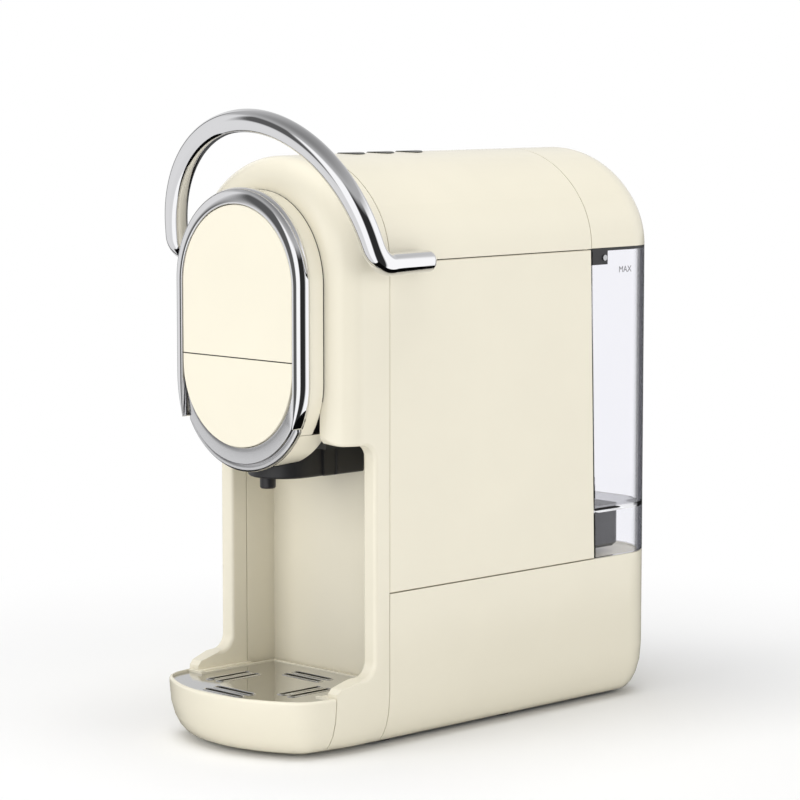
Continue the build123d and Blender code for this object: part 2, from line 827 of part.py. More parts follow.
# Basket for the pod: a drawn cup with a flat rim and a drain hole
with BuildPart() as capsule_basket:
    with BuildSketch(at_y(basket_y)):
        with BuildLine():
            Polyline(
                (nozzle_bore_radius, basket_base_z),
                (basket_base_radius, basket_base_z),
                (basket_top_radius, basket_rim_z - basket_rim_thickness),
                (basket_rim_radius, basket_rim_z - basket_rim_thickness),
                (basket_rim_radius, basket_rim_z),
                (basket_top_radius - basket_wall, basket_rim_z),
                (basket_base_radius - basket_wall, basket_base_z + basket_wall),
                (nozzle_bore_radius, basket_base_z + basket_wall),
                close=True,
            )
        make_face()
    revolve(axis=Axis((0, basket_y, 0), (0, 0, 1)))
keep(capsule_basket, "capsule_basket")

# Ledges that the carrier's lips run on, as one group
with BuildPart() as drawer_rails:
    for side in (-1, 1):
        near, far = sorted((side * (carrier_half_width + seam), side * (half_width - wall - slip)))
        block((near, hood_front_y + hood_edge_radius, lip_z - slip - rail_thickness),
              (far, bay_wall_y, lip_z - slip))
keep(drawer_rails, "drawer_rails")

# Dark outlet tongue under a shoulder plate: round front, stepped and grooved flanks, and a channel from the
# basket to the nozzle
with BuildPart() as spout_block:
    with BuildSketch(at_z(spout_bottom_z)):
        with Locations((0, spout_front_y + spout_half_width)):
            Circle(spout_half_width)
            Rectangle(2 * spout_half_width, bay_wall_y - spout_front_y - spout_half_width,
                      align=(Align.CENTER, Align.MIN))
        with Locations((0, spout_step_y)):
            Rectangle(2 * (spout_half_width + spout_step), bay_wall_y - spout_step_y,
                      align=(Align.CENTER, Align.MIN))
    extrude(amount=bay_roof_z - spout_bottom_z)
    fillet(spout_block.faces().sort_by(Axis.Z)[0].edges().sort_by(Axis.Y)[:-1], spout_edge_radius)
    block((-shoulder_half_width, trough_rear_y + slip, bay_roof_z - shoulder_thickness),
          (shoulder_half_width, bay_wall_y, bay_roof_z))
    for side in (-1, 1):
        groove_x = side * (spout_half_width + spout_step)
        bar((groove_x, groove_y, 0), (groove_x, groove_y, crown_z), groove_radius, Mode.SUBTRACT)
    bar((0, nose_front_y, ring_lower_centre_z), (0, trough_rear_y + slip, ring_lower_centre_z),
        collar_half_width + slip, Mode.SUBTRACT)
    bar((0, basket_y, channel_z), (0, basket_y, crown_z), drain_radius, Mode.SUBTRACT)
    bar((0, nozzle_y, channel_z), (0, basket_y, channel_z), nozzle_bore_radius, Mode.SUBTRACT)
    bar((0, nozzle_y, 0), (0, nozzle_y, channel_z), nozzle_bore_radius, Mode.SUBTRACT)
keep(spout_block, "spout_block")

# Outlet nozzle with a bevelled tip
with BuildPart() as spout_nozzle:
    bar((0, nozzle_y, nozzle_tip_z), (0, nozzle_y, spout_bottom_z), nozzle_radius)
    chamfer(spout_nozzle.edges().group_by(Axis.Z)[0], nozzle_chamfer)
    bar((0, nozzle_y, 0), (0, nozzle_y, crown_z), nozzle_bore_radius, Mode.SUBTRACT)
keep(spout_nozzle, "spout_nozzle")

# Fixed frame of the brew group: foot plate, two cheeks and a bridge with the bored boss of the feed tube
with BuildPart() as brew_frame:
    block((-half_width + wall + slip, hood_front_y + hood_edge_radius, frame_foot_z),
          (half_width - wall - slip, frame_back_y, frame_foot_z + frame_foot_thickness))
    for side in (-1, 1):
        near, far = sorted((side * frame_plate_x, side * (frame_plate_x + frame_plate_thickness)))
        block((near, frame_plate_front_y, frame_foot_z + frame_foot_thickness),
              (far, frame_back_y, frame_top_z))
    block((-frame_plate_x - frame_plate_thickness, bridge_front_y, frame_top_z),
          (frame_plate_x + frame_plate_thickness, frame_back_y, frame_top_z + frame_foot_thickness))
    bar((0, basket_y, 0), (0, basket_y, boss_foot_z), piston_radius + piston_chamfer, Mode.SUBTRACT)
    bar((0, basket_y, boss_foot_z), (0, basket_y, frame_top_z), boss_radius)
    bar((0, basket_y, boss_foot_z), (0, basket_y, frame_top_z), feed_radius + running_gap, Mode.SUBTRACT)
    bar((-stub_x, pivot_y, pivot_z), (stub_x, pivot_y, pivot_z), bush_radius, Mode.SUBTRACT)
keep(brew_frame, "brew_frame")

# Guide rods of the piston carriage, as one group
with BuildPart() as guide_rods:
    for x in (-rod_x, rod_x):
        bar((x, basket_y, frame_foot_z + frame_foot_thickness), (x, basket_y, frame_top_z),
            guide_rod_radius)
keep(guide_rods, "guide_rods")

# Bearings of the lever shaft, as one group
with BuildPart() as shaft_bushes:
    for side in (-1, 1):
        inner = (side * (frame_plate_x - seam), pivot_y, pivot_z)
        outer = (side * (half_width + seam), pivot_y, pivot_z)
        bar(inner, outer, bush_radius)
        bar(inner, outer, shaft_radius + running_gap, Mode.SUBTRACT)
keep(shaft_bushes, "shaft_bushes")

# Lever shaft across the body
with BuildPart() as handle_shaft:
    bar((-shaft_end_x, pivot_y, pivot_z), (shaft_end_x, pivot_y, pivot_z), shaft_radius)
keep(handle_shaft, "handle_shaft")

# Two crank plates on the shaft, each with a drive pin
with BuildPart() as shaft_cranks:
    for side in (-1, 1):
        middle_x = side * (crank_plate_x + crank_plate_thickness / 2)
        with BuildSketch(at_x(middle_x)):
            with Locations((pivot_y, pivot_z)):
                Circle(2 * shaft_radius)
            with Locations((crank_pin_y, crank_pin_z)):
                Circle(2 * crank_pin_radius)
            make_hull()
        extrude(amount=crank_plate_thickness / 2, both=True)
        bar((middle_x, crank_pin_y, crank_pin_z),
            (side * (cheek_x + cheek_thickness + carriage_gap), crank_pin_y, crank_pin_z), crank_pin_radius)
    bar((-stub_x, pivot_y, pivot_z), (stub_x, pivot_y, pivot_z), shaft_radius, Mode.SUBTRACT)
keep(shaft_cranks, "shaft_cranks")

# Carriage that the crank pins lift: a plate on the guide rods with two forked cheeks
with BuildPart() as piston_carriage:
    block((-frame_plate_x + carriage_gap, carriage_front_y, carriage_z),
          (frame_plate_x - carriage_gap, frame_plate_front_y - carriage_gap, carriage_z + carriage_thickness))
    block((-cheek_x - cheek_thickness, frame_plate_front_y - carriage_gap, carriage_z),
          (cheek_x + cheek_thickness, pivot_y - 3 * shaft_radius, carriage_z + carriage_thickness))
    for side in (-1, 1):
        near, far = sorted((side * cheek_x, side * (cheek_x + cheek_thickness)))
        block((near, cheek_front_y, carriage_z),
              (far, pivot_y - shaft_radius - cheek_gap, crank_pin_z + cheek_top))
    slot_reach = crank_radius + crank_pin_radius + pin_slot_gap
    slot_half = crank_pin_radius + pin_slot_gap
    block((-half_width, pivot_y - slot_reach, crank_pin_z - slot_half),
          (half_width, pivot_y, crank_pin_z + slot_half), Mode.SUBTRACT)
    for x in (-rod_x, rod_x):
        bar((x, basket_y, 0), (x, basket_y, crown_z), guide_rod_radius + running_gap, Mode.SUBTRACT)
keep(piston_carriage, "piston_carriage")

# Tube that carries water from the boss down to the piston, sliding in the boss
with BuildPart() as feed_tube:
    bar((0, basket_y, carriage_z + carriage_thickness), (0, basket_y, feed_top_z), feed_radius)
    bar((0, basket_y, carriage_z), (0, basket_y, feed_top_z), feed_bore_radius, Mode.SUBTRACT)
keep(feed_tube, "feed_tube")

# Piston with a bevelled top
with BuildPart() as brew_piston:
    bar((0, basket_y, piston_base_z), (0, basket_y, carriage_z), piston_radius)
    chamfer(brew_piston.edges().group_by(Axis.Z)[-1], piston_chamfer)
keep(brew_piston, "brew_piston")

# Rubber ring that presses on the rim of the pod
with BuildPart() as piston_seal:
    bar((0, basket_y, basket_rim_z + seal_gap), (0, basket_y, piston_base_z), piston_radius)
    bar((0, basket_y, 0), (0, basket_y, crown_z), piston_radius - seal_width, Mode.SUBTRACT)
keep(piston_seal, "piston_seal")

# Short steel needle with a pointed tip
with BuildPart() as piercing_needle:
    with Locations((0, basket_y, piston_base_z)):
        Cone(needle_tip_radius, needle_radius, seal_thickness,
             align=(Align.CENTER, Align.CENTER, Align.MAX))
keep(piercing_needle, "piercing_needle")

# Bent handle: a half ring tilted over the head, with a stub from each foot back to the shaft
tilt = math.radians(arch_tilt)
spring = math.radians(arch_spring)
arch_up = Vector(0, -math.sin(tilt), math.cos(tilt))
spring_foot = Vector(arch_radius * math.cos(spring), arch_foot_y, arch_foot_z)
spring_point = spring_foot + arch_up * arch_radius * math.sin(spring)
leg_drop = (spring_point.Z - bend_z) / arch_up.Z
bend_point = spring_point - arch_up * leg_drop + Vector(leg_drop * math.tan(spring), 0, 0)
stub_start = Vector(stub_x, stub_rear_y, pivot_z)
arch_plane = Plane(origin=(0, arch_foot_y, arch_foot_z), x_dir=(1, 0, 0), z_dir=(0, -arch_up.Z, arch_up.Y))


def leg_points(side):
    """Corners of one leg's centre line, from the rear end of its stub to the spring of the ring."""
    return [(side * point.X, point.Y, point.Z) for point in (stub_start, bend_point, spring_point)]


with BuildLine(arch_plane) as ring_line:
    CenterArc((0, 0), arch_radius, arch_spring, 180 - 2 * arch_spring)

with BuildLine() as handle_line:
    FilletPolyline(*leg_points(1), radius=bend_radius)
    add(ring_line.line)
    FilletPolyline(*leg_points(-1), radius=bend_radius)

with BuildPart() as handle_bail:
    with BuildSketch(Plane(origin=stub_start, x_dir=(0, 0, 1), z_dir=bend_point - stub_start)):
        RectangleRounded(rod_width, rod_width, rod_corner)
    sweep(path=handle_line.wires()[0])
    fillet(handle_bail.faces().sort_by(Axis.Y)[-2:].edges(), rod_end_radius)
    bar((-shaft_end_x, pivot_y, pivot_z), (shaft_end_x, pivot_y, pivot_z), shaft_radius, Mode.SUBTRACT)
keep(handle_bail, "handle_bail")

# Three round caps on the crown, each with a retaining flange and a stem over its switch
for name, y in zip(("button_small", "button_large", "button_power"), button_rows):
    flange_z = crown_z - button_skirt
    stem_z = board_z + board_thickness + switch_height + button_travel + slip
    with BuildPart() as button:
        with BuildSketch(at_z(flange_z)):
            with Locations((0, y)):
                Circle(button_radius)
        extrude(amount=button_skirt + button_travel)
        with BuildSketch(at_y(y + 2 * button_radius)):
            add(arch(-button_proud, lower_seam_z))
        extrude(amount=4 * button_radius, mode=Mode.INTERSECT)
        chamfer(button.faces().sort_by(Axis.Z)[-1].edges(), button_chamfer)
        with BuildSketch(at_z(flange_z)):
            with Locations((0, y)):
                Circle(button_radius + flange_reach)
        extrude(amount=flange_thickness)
        bar((0, y, stem_z), (0, y, flange_z), stem_radius)
    keep(button, name)

# Circuit board under the buttons
with BuildPart() as control_board:
    block((-board_half_width, button_rows[0] - board_margin, board_z),
          (board_half_width, button_rows[-1] + board_margin, board_z + board_thickness))
keep(control_board, "control_board")

# Push switches on the board, as one group
with BuildPart() as tact_switches:
    board_top_z = board_z + board_thickness
    for y in button_rows:
        block((-switch_size / 2, y - switch_size / 2, board_top_z),
              (switch_size / 2, y + switch_size / 2, board_top_z + switch_body_height))
        bar((0, y, board_top_z), (0, y, board_top_z + switch_height), switch_tip_radius)
keep(tact_switches, "tact_switches")

# Drip tray: the bowed nose of the base and a straight tail between the lugs
with BuildPart() as drip_tray:
    add(slice_of_base(nose_front_y - wall, tray_seam_y - seam / 2, tray_rim_z))
    rim_edges = drip_tray.edges().group_by(Axis.Z)[-1].sort_by(Axis.Y)[:-1]
    fillet(rim_edges, tray_rim_radius)
    block((-tray_tail_half_width, tray_seam_y - tray_wall, tray_tail_z),
          (tray_tail_half_width, tray_tail_y, tray_rim_z - seam))
    add(tray_hollow(), mode=Mode.SUBTRACT)
    add(nose_inside(tray_wall - grid_ledge, grid_top_z - grid_thickness, lower_seam_z), mode=Mode.SUBTRACT)
keep(drip_tray, "drip_tray")

# Polished plate with pairs of slots round the place of the cup
with BuildPart() as drip_grid:
    add(nose_inside(tray_wall - grid_ledge + slip, grid_top_z - grid_thickness, grid_top_z))
    with BuildSketch(at_z(grid_top_z)):
        with Locations((0, nozzle_y)):
            with PolarLocations(slot_ring, 4):
                with Locations((-slot_pitch / 2, 0), (slot_pitch / 2, 0)):
                    SlotOverall(slot_length, slot_width, rotation=90)
    extrude(amount=-2 * grid_thickness, mode=Mode.SUBTRACT)
keep(drip_grid, "drip_grid")

# Clear tank with a skirt below its floor
with BuildPart() as water_tank:
    add(tank_form(0, tank_bottom_z, tank_top_z))
    add(tank_form(tank_wall, tank_floor_z + tank_wall, tank_top_z), mode=Mode.SUBTRACT)
    add(tank_form(tank_wall, tank_bottom_z, tank_floor_z), mode=Mode.SUBTRACT)
    bar((0, valve_y, 0), (0, valve_y, crown_z), spigot_radius, Mode.SUBTRACT)
    for side in (-1, 1):
        near, far = sorted((side * (half_width - tank_wall), side * (half_width + wall)))
        block((near, tank_front_y - wall, tank_top_z - ear_height),
              (far, tank_front_y + ear_length, tank_top_z), Mode.SUBTRACT)
keep(water_tank, "water_tank")

# Dark rim of the tank with an ear at each front corner
with BuildPart() as tank_rim:
    with BuildSketch(at_z(tank_top_z)):
        add(tank_plan(0))
        add(tank_plan(2 * tank_wall), mode=Mode.SUBTRACT)
    extrude(amount=rim_height)
    for side in (-1, 1):
        near, far = sorted((side * (half_width - tank_wall), side * half_width))
        block((near, tank_front_at(tank_top_z - ear_height) + slip, tank_top_z - ear_height),
              (far, tank_front_y + ear_length, tank_top_z))
keep(tank_rim, "tank_rim")

# Round rivet heads on the ears, as one group
with BuildPart() as tank_rivets:
    for side in (-1, 1):
        y = tank_front_y + ear_length - rivet_margin
        z = tank_top_z - ear_height / 2
        bar((side * half_width, y, z), (side * (half_width + rivet_height), y, z), rivet_radius)
keep(tank_rivets, "tank_rivets")

# Dark valve housing in the skirt of the tank, bored for the spigot of the seat
with BuildPart() as tank_valve_body:
    with BuildSketch(at_z(tank_floor_z - valve_height)):
        with Locations((0, valve_front_y + valve_length / 2)):
            RectangleRounded(2 * valve_half_width, valve_length, valve_corner)
    extrude(amount=valve_height)
    chamfer(tank_valve_body.edges().group_by(Axis.Z)[0], valve_chamfer)
    bar((0, valve_y, 0), (0, valve_y, lower_seam_z + wall + seal_ring_height + seam),
        spigot_radius + seal_ring_width + 2 * slip, Mode.SUBTRACT)
    bar((0, valve_y, 0), (0, valve_y, lower_seam_z + spigot_height + spigot_clearance),
        spigot_radius + 2 * slip, Mode.SUBTRACT)
    bar((0, valve_y, 0), (0, valve_y, crown_z), plunger_radius + slip, Mode.SUBTRACT)
keep(tank_valve_body, "tank_valve_body")

# Plunger that the seat's spigot holds open
with BuildPart() as valve_plunger:
    head_z = tank_floor_z + tank_wall
    bar((0, valve_y, lower_seam_z + spigot_height + plunger_gap), (0, valve_y, head_z), plunger_radius)
    bar((0, valve_y, head_z), (0, valve_y, head_z + plunger_head_height), spigot_radius + plunger_gap)
keep(valve_plunger, "valve_plunger")

# Seat of the tank valve on the platform, with a spigot and a pipe below
with BuildPart() as tank_seat:
    bar((0, valve_y, lower_seam_z), (0, valve_y, lower_seam_z + wall), 2 * spigot_radius)
    bar((0, valve_y, seat_pipe_z), (0, valve_y, lower_seam_z + spigot_height), spigot_radius)
    bar((0, valve_y, 0), (0, valve_y, crown_z), hose_radius, Mode.SUBTRACT)
keep(tank_seat, "tank_seat")

# Flat rubber ring round the spigot
with BuildPart() as tank_seat_seal:
    seal_z = lower_seam_z + wall
    bar((0, valve_y, seal_z), (0, valve_y, seal_z + seal_ring_height), spigot_radius + seal_ring_width)
    bar((0, valve_y, 0), (0, valve_y, crown_z), spigot_radius, Mode.SUBTRACT)
keep(tank_seat_seal, "tank_seat_seal")

# Rear cap, which is the lid of the tank
with BuildPart() as tank_lid:
    add(cap_form(0))
    add(cap_form(wall), mode=Mode.SUBTRACT)
keep(tank_lid, "tank_lid")

# Vibration pump: a round body with a nose in front and a narrower coil end
with BuildPart() as water_pump:
    nose_back_y = pump_front_y + pump_nose_length
    coil_back_y = pump_back_y - pump_tail_length
    with BuildSketch(at_x(0)):
        with BuildLine():
            Polyline(
                (pump_front_y, pump_z),
                (pump_front_y, pump_z + pump_nose_radius),
                (nose_back_y, pump_z + pump_nose_radius),
                (nose_back_y, pump_z + pump_radius),
                (coil_back_y, pump_z + pump_radius),
                (coil_back_y, pump_z + pump_tail_radius),
                (pump_back_y, pump_z + pump_tail_radius),
                (pump_back_y, pump_z),
                close=True,
            )
        make_face()
    revolve(axis=Axis((0, 0, pump_z), (0, 1, 0)))
keep(water_pump, "water_pump")

# Rubber rings round the pump, each on a foot, as one group
with BuildPart() as pump_mounts:
    for y in [pump_front_y + ahead for ahead in mount_offsets]:
        bar((0, y, pump_z), (0, y + mount_width, pump_z), pump_radius + mount_wall)
        block((-pump_radius, y, plate_top_z), (pump_radius, y + mount_width, pump_z))
    bar((0, pump_front_y, pump_z), (0, pump_back_y, pump_z), pump_radius, Mode.SUBTRACT)
keep(pump_mounts, "pump_mounts")

# Cast heater block with fins on its top, close to the plate in front of the tank
heater_top_z = heater_base_z + heater_height
heater_back_y = tank_front_at(heater_top_z) - seam - wall - heater_gap
heater_front_y = heater_back_y - heater_length

with BuildPart() as thermoblock:
    with BuildSketch(at_z(heater_base_z)):
        with Locations((0, heater_back_y)):
            Rectangle(heater_width, heater_length, align=(Align.CENTER, Align.MAX))
    extrude(amount=heater_height)
    fillet(thermoblock.edges().filter_by(Axis.Z), heater_corner_radius)
    for i in range(1, fin_gaps + 1):
        y = heater_back_y - heater_length * i / (fin_gaps + 1)
        block((-heater_width, y - fin_gap / 2, heater_top_z - fin_depth),
              (heater_width, y + fin_gap / 2, heater_top_z), Mode.SUBTRACT)
keep(thermoblock, "thermoblock")

# Flow meter on the bottom plate
with BuildPart() as flow_meter:
    bar((meter_x, meter_y, plate_top_z), (meter_x, meter_y, plate_top_z + meter_height), meter_radius)
    bar((meter_x, meter_y, plate_top_z), (meter_x, meter_y, meter_top_z), meter_cap_radius)
keep(flow_meter, "flow_meter")


def hose(points, name):
    """A hose along straight runs with rounded corners."""
    with BuildLine() as route:
        FilletPolyline(*points, radius=hose_bend)
    with BuildPart() as tube:
        with BuildSketch(Plane(origin=points[0], z_dir=Vector(*points[1]) - Vector(*points[0]))):
            Circle(hose_radius)
        sweep(path=route.wires()[0])
    keep(tube, name)


hose(
    [(0, valve_y, seat_pipe_z), (0, valve_y, hose_level_z), (meter_x, meter_y, hose_level_z),
     (meter_x, meter_y, meter_top_z)],
    "inlet_hose",
)
hose(
    [(meter_x, meter_y - meter_radius, meter_port_z), (meter_x, pump_back_y + hose_reach, meter_port_z),
     (0, pump_back_y + hose_reach, pump_z), (0, pump_back_y, pump_z)],
    "suction_hose",
)
hose(
    [(0, pump_front_y, pump_z), (0, riser_y, pump_z), (0, riser_y, heater_base_z - hose_dip),
     (0, heater_front_y + hose_inset, heater_base_z - hose_dip),
     (0, heater_front_y + hose_inset, heater_base_z)],
    "pump_hose",
)
hose(
    [(0, heater_front_y, heater_port_z), (0, brew_riser_y, heater_port_z), (0, brew_riser_y, brew_hose_z),
     (0, basket_y + boss_radius, brew_hose_z)],
    "brew_hose",
)
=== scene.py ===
import bmesh
import bpy
import json
import math
import numpy as np
from mathutils import Matrix, Vector


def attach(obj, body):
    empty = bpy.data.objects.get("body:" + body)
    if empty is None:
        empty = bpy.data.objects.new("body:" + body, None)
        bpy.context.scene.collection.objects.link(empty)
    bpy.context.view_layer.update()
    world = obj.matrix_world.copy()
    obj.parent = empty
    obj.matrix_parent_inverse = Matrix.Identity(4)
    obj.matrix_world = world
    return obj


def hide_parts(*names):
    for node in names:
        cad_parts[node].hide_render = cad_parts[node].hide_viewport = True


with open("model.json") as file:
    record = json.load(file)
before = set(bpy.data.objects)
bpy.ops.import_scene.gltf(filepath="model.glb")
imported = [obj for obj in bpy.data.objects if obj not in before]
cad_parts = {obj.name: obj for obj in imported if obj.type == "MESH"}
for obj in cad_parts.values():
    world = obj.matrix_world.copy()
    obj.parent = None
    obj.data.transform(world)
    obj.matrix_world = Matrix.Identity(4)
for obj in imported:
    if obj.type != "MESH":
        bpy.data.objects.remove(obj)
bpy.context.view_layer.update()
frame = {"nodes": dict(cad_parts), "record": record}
nodes = frame["nodes"]
MM = 0.001


def linear(code, share=1.0):
    """sRGB hex code to linear colour: c/12.92 below 0.04045, else ((c+0.055)/1.055)^2.4, times a share."""
    parts = [int(code[i:i + 2], 16) / 255 for i in (1, 3, 5)]
    light = [c / 12.92 if c <= 0.04045 else ((c + 0.055) / 1.055) ** 2.4 for c in parts]
    return tuple(share * c for c in light) + (1.0,)


def per_mm(size):
    """Noise scale whose blotches are about this many millimetres across, in a model drawn in metres."""
    return 1 / (size * MM)


def add(tree, kind, inputs=None, stops=None, **settings):
    """Adds one node with its settings, its inputs as values or (node, output) links, and a ramp's stops."""
    made = tree.nodes.new("ShaderNode" + kind)
    for key, value in settings.items():
        setattr(made, key, value)
    for key, value in (inputs or {}).items():
        if isinstance(value, tuple) and len(value) == 2 and isinstance(value[0], bpy.types.Node):
            tree.links.new(value[0].outputs[value[1]], made.inputs[key])
        else:
            made.inputs[key].default_value = value
    for i, (position, colour) in enumerate(stops or []):
        ramp = made.color_ramp.elements
        stop = ramp[i] if i < 2 else ramp.new(position)
        stop.position = position
        stop.color = colour
    return made


def blank(name):
    """A new material with an empty node tree, its output node and its Object coordinates."""
    made = bpy.data.materials.new(name)
    made.use_nodes = True
    made.node_tree.nodes.clear()
    return made, made.node_tree, add(made.node_tree, "OutputMaterial"), add(made.node_tree, "TexCoord")


# Moulded ABS from a polished tool, glossy or satin by its roughness: an even colour with a broad cloudiness
# you hardly see, and a faint orange peel about 3 mm across that softens the reflections.
def moulded_abs(name, code, rough):
    made, tree, out, place = blank(name)
    cloud = add(tree, "TexNoise", {"Vector": (place, "Object"), "Scale": per_mm(45), "Detail": 2.0})
    tint = add(tree, "ValToRGB", {"Fac": (cloud, "Fac")}, [(0.3, linear(code, 0.975)), (0.7, linear(code))])
    gloss = add(tree, "MapRange", {"Value": (cloud, "Fac"), "To Min": rough - 0.02, "To Max": rough + 0.03})
    peel = add(tree, "TexNoise", {"Vector": (place, "Object"), "Scale": per_mm(3), "Detail": 1.0})
    bump = add(tree, "Bump", {"Height": (peel, "Fac"), "Strength": 0.02, "Distance": 0.4 * MM})
    skin = add(tree, "BsdfPrincipled", {
        "Base Color": (tint, "Color"), "Roughness": (gloss, "Result"), "IOR": 1.53,
        "Normal": (bump, "Normal")})
    tree.links.new(skin.outputs[0], out.inputs[0])
    return made


# Bright chrome plate over polished plastic, or polished steel: a mirror with a trace of haze where hands have
# wiped it.
def plated_chrome(name, code, rough):
    made, tree, out, place = blank(name)
    haze = add(tree, "TexNoise", {"Vector": (place, "Object"), "Scale": per_mm(16), "Detail": 4.0})
    gloss = add(tree, "MapRange", {
        "Value": (haze, "Fac"), "From Min": 0.35, "From Max": 0.75, "To Min": rough, "To Max": rough + 0.04})
    metal = add(tree, "BsdfPrincipled", {
        "Base Color": linear(code), "Metallic": 1.0, "Roughness": (gloss, "Result")})
    tree.links.new(metal.outputs[0], out.inputs[0])
    return made


# Satin metal: fine lines with their spacing and length in millimetres by axis, drawn about 1 mm apart, which
# is coarser than real brushing, so that they show.
def satin_metal(name, code, rough, line_mm):
    made, tree, out, place = blank(name)
    stretch = tuple(per_mm(size) for size in line_mm)
    drawn = add(tree, "Mapping", {"Vector": (place, "Object"), "Scale": stretch})
    lines = add(tree, "TexNoise", {"Vector": (drawn, "Vector"), "Scale": 1.0, "Detail": 3.0})
    gloss = add(tree, "MapRange", {"Value": (lines, "Fac"), "To Min": rough - 0.05, "To Max": rough + 0.07})
    bump = add(tree, "Bump", {"Height": (lines, "Fac"), "Strength": 0.012, "Distance": 0.2 * MM})
    metal = add(tree, "BsdfPrincipled", {
        "Base Color": linear(code), "Metallic": 1.0, "Roughness": (gloss, "Result"),
        "Normal": (bump, "Normal")})
    tree.links.new(metal.outputs[0], out.inputs[0])
    return made


# Spark-eroded plastic, moulded rubber, or a film of ink or lacquer: an even fine grain, about 0.6 mm, that
# breaks the light up.
def grained_plastic(name, code, rough):
    made, tree, out, place = blank(name)
    grain = add(tree, "TexNoise", {"Vector": (place, "Object"), "Scale": per_mm(0.6), "Detail": 2.0})
    bump = add(tree, "Bump", {"Height": (grain, "Fac"), "Strength": 0.12, "Distance": 0.3 * MM})
    gloss = add(tree, "MapRange", {"Value": (grain, "Fac"), "To Min": rough - 0.05, "To Max": rough + 0.08})
    skin = add(tree, "BsdfPrincipled", {
        "Base Color": linear(code), "Roughness": (gloss, "Result"), "Normal": (bump, "Normal"), "IOR": 1.5})
    tree.links.new(skin.outputs[0], out.inputs[0])
    return made


# Clear SAN, injection moulded: water-clear where you look straight through, with painted shade where the wall
# turns edge-on and you look along it, most of all at the two rear corners, which stands in for the dark
# refraction at its thick edges, and a slow waviness from the flow of the melt. Its IOR is kept below the
# plastic's own 1.57, with which total reflection blackened the corners.
def clear_san(name, face_code, edge_shade_code):
    made, tree, out, place = blank(name)
    rear_corner, fade_from, fade_to = (51.5 * MM, 122.5 * MM, 0), 12 * MM, 7 * MM
    flow = add(tree, "TexNoise", {"Vector": (place, "Object"), "Scale": per_mm(25), "Detail": 1.0})
    bump = add(tree, "Bump", {"Height": (flow, "Fac"), "Strength": 0.02, "Distance": 0.5 * MM})
    edge = add(tree, "LayerWeight", {"Blend": 0.5})
    plan = add(tree, "VectorMath", {0: (place, "Object"), 1: (1, 1, 0)}, operation="MULTIPLY")
    both = add(tree, "VectorMath", {0: (plan, "Vector")}, operation="ABSOLUTE")
    apart = add(tree, "VectorMath", {0: (both, "Vector"), 1: rear_corner}, operation="DISTANCE")
    corner = add(tree, "MapRange", {"Value": (apart, "Value"), "From Min": fade_from, "From Max": fade_to})
    turned = add(tree, "MapRange", {"Value": (edge, "Facing"), "From Min": 0.33, "From Max": 0.55})
    corner_shade = add(tree, "Math", {0: (corner, "Result"), 1: (turned, "Result")}, operation="MULTIPLY")
    wall = add(tree, "MapRange", {
        "Value": (edge, "Facing"), "From Min": 0.45, "From Max": 0.9, "To Max": 0.6})
    painted_shade = add(tree, "Math", {0: (corner_shade, 0), 1: (wall, "Result")}, operation="MAXIMUM")
    # The ramp paints shade into the clear colour: edge-on walls and the rear corners go dark grey.
    tint = add(tree, "ValToRGB", {"Fac": (painted_shade, 0)}, [(0.0, linear(face_code)), (1.0, linear(edge_shade_code))])
    skin = add(tree, "BsdfPrincipled", {
        "Base Color": (tint, "Color"), "Roughness": 0.02, "IOR": 1.2, "Transmission Weight": 1.0,
        "Normal": (bump, "Normal")})
    tree.links.new(skin.outputs[0], out.inputs[0])
    return made


# Cast aluminium: a pale grey skin with a sandy grain about 1 mm across.
def cast_aluminium(name, code):
    made, tree, out, place = blank(name)
    sand = add(tree, "TexNoise", {"Vector": (place, "Object"), "Scale": per_mm(1.0), "Detail": 3.0})
    bump = add(tree, "Bump", {"Height": (sand, "Fac"), "Strength": 0.3, "Distance": 0.4 * MM})
    metal = add(tree, "BsdfPrincipled", {
        "Base Color": linear(code), "Metallic": 1.0, "Roughness": 0.5, "Normal": (bump, "Normal")})
    tree.links.new(metal.outputs[0], out.inputs[0])
    return made


cream = moulded_abs("cream_abs", "#ece6d3", 0.20)
# The face plates' cream is a little lighter than the body's, which is painted light on the front-facing
# plates. Their higher roughness is their own satin finish.
cream_face_lit = moulded_abs("cream_face_lit_abs", "#efe9d6", 0.38)
chrome = plated_chrome("plated_chrome", "#e4e4e6", 0.03)
grid_steel = plated_chrome("polished_steel", "#d2d2d2", 0.08)
bezel_satin = satin_metal("satin_bezel", "#d4d4d6", 0.22, (1.1, 25.0, 1.1))
drawn_steel = satin_metal("drawn_steel", "#b9babc", 0.26, (17.0, 17.0, 0.7))
dark = grained_plastic("dark_abs", "#232325", 0.40)
valve_grey = moulded_abs("valve_abs", "#434345", 0.25)
button_black = moulded_abs("button_abs", "#2e2d26", 0.22)
rubber = grained_plastic("epdm_rubber", "#202021", 0.7)
# The tank's second colour, a dark grey, is painted shade at its edge-on walls and rear corners.
tank_clear = clear_san("clear_san", "#f9f9fc", "#29292e")
alloy = cast_aluminium("cast_aluminium", "#b6b8ba")
bronze = satin_metal("sintered_bronze", "#b8935a", 0.34, (0.8, 17.0, 17.0))
print_grey = grained_plastic("printing_ink", "#77777b", 0.6)
board_mask = grained_plastic("solder_mask", "#1c5a34", 0.3)

finish_of_slot = {
    "cream_plastic": cream, "polished_chrome": chrome, "satin_metal": drawn_steel, "dark_plastic": dark,
    "button_plastic": button_black, "clear_plastic": tank_clear, "black_rubber": rubber,
    "cast_alloy": alloy, "bush_brass": bronze, "board_green": board_mask,
}
finish_of_node = {
    "upper_face_plate": cream_face_lit, "drawer_face": cream_face_lit, "drip_grid": grid_steel,
    "rear_bulkhead": cream, "tank_valve_body": valve_grey,
}
for part in frame["record"]["subparts"]:
    surface = nodes[part["node"]]
    surface.data.materials.clear()
    surface.data.materials.append(finish_of_node.get(part["node"], finish_of_slot[part["material_slot"]]))

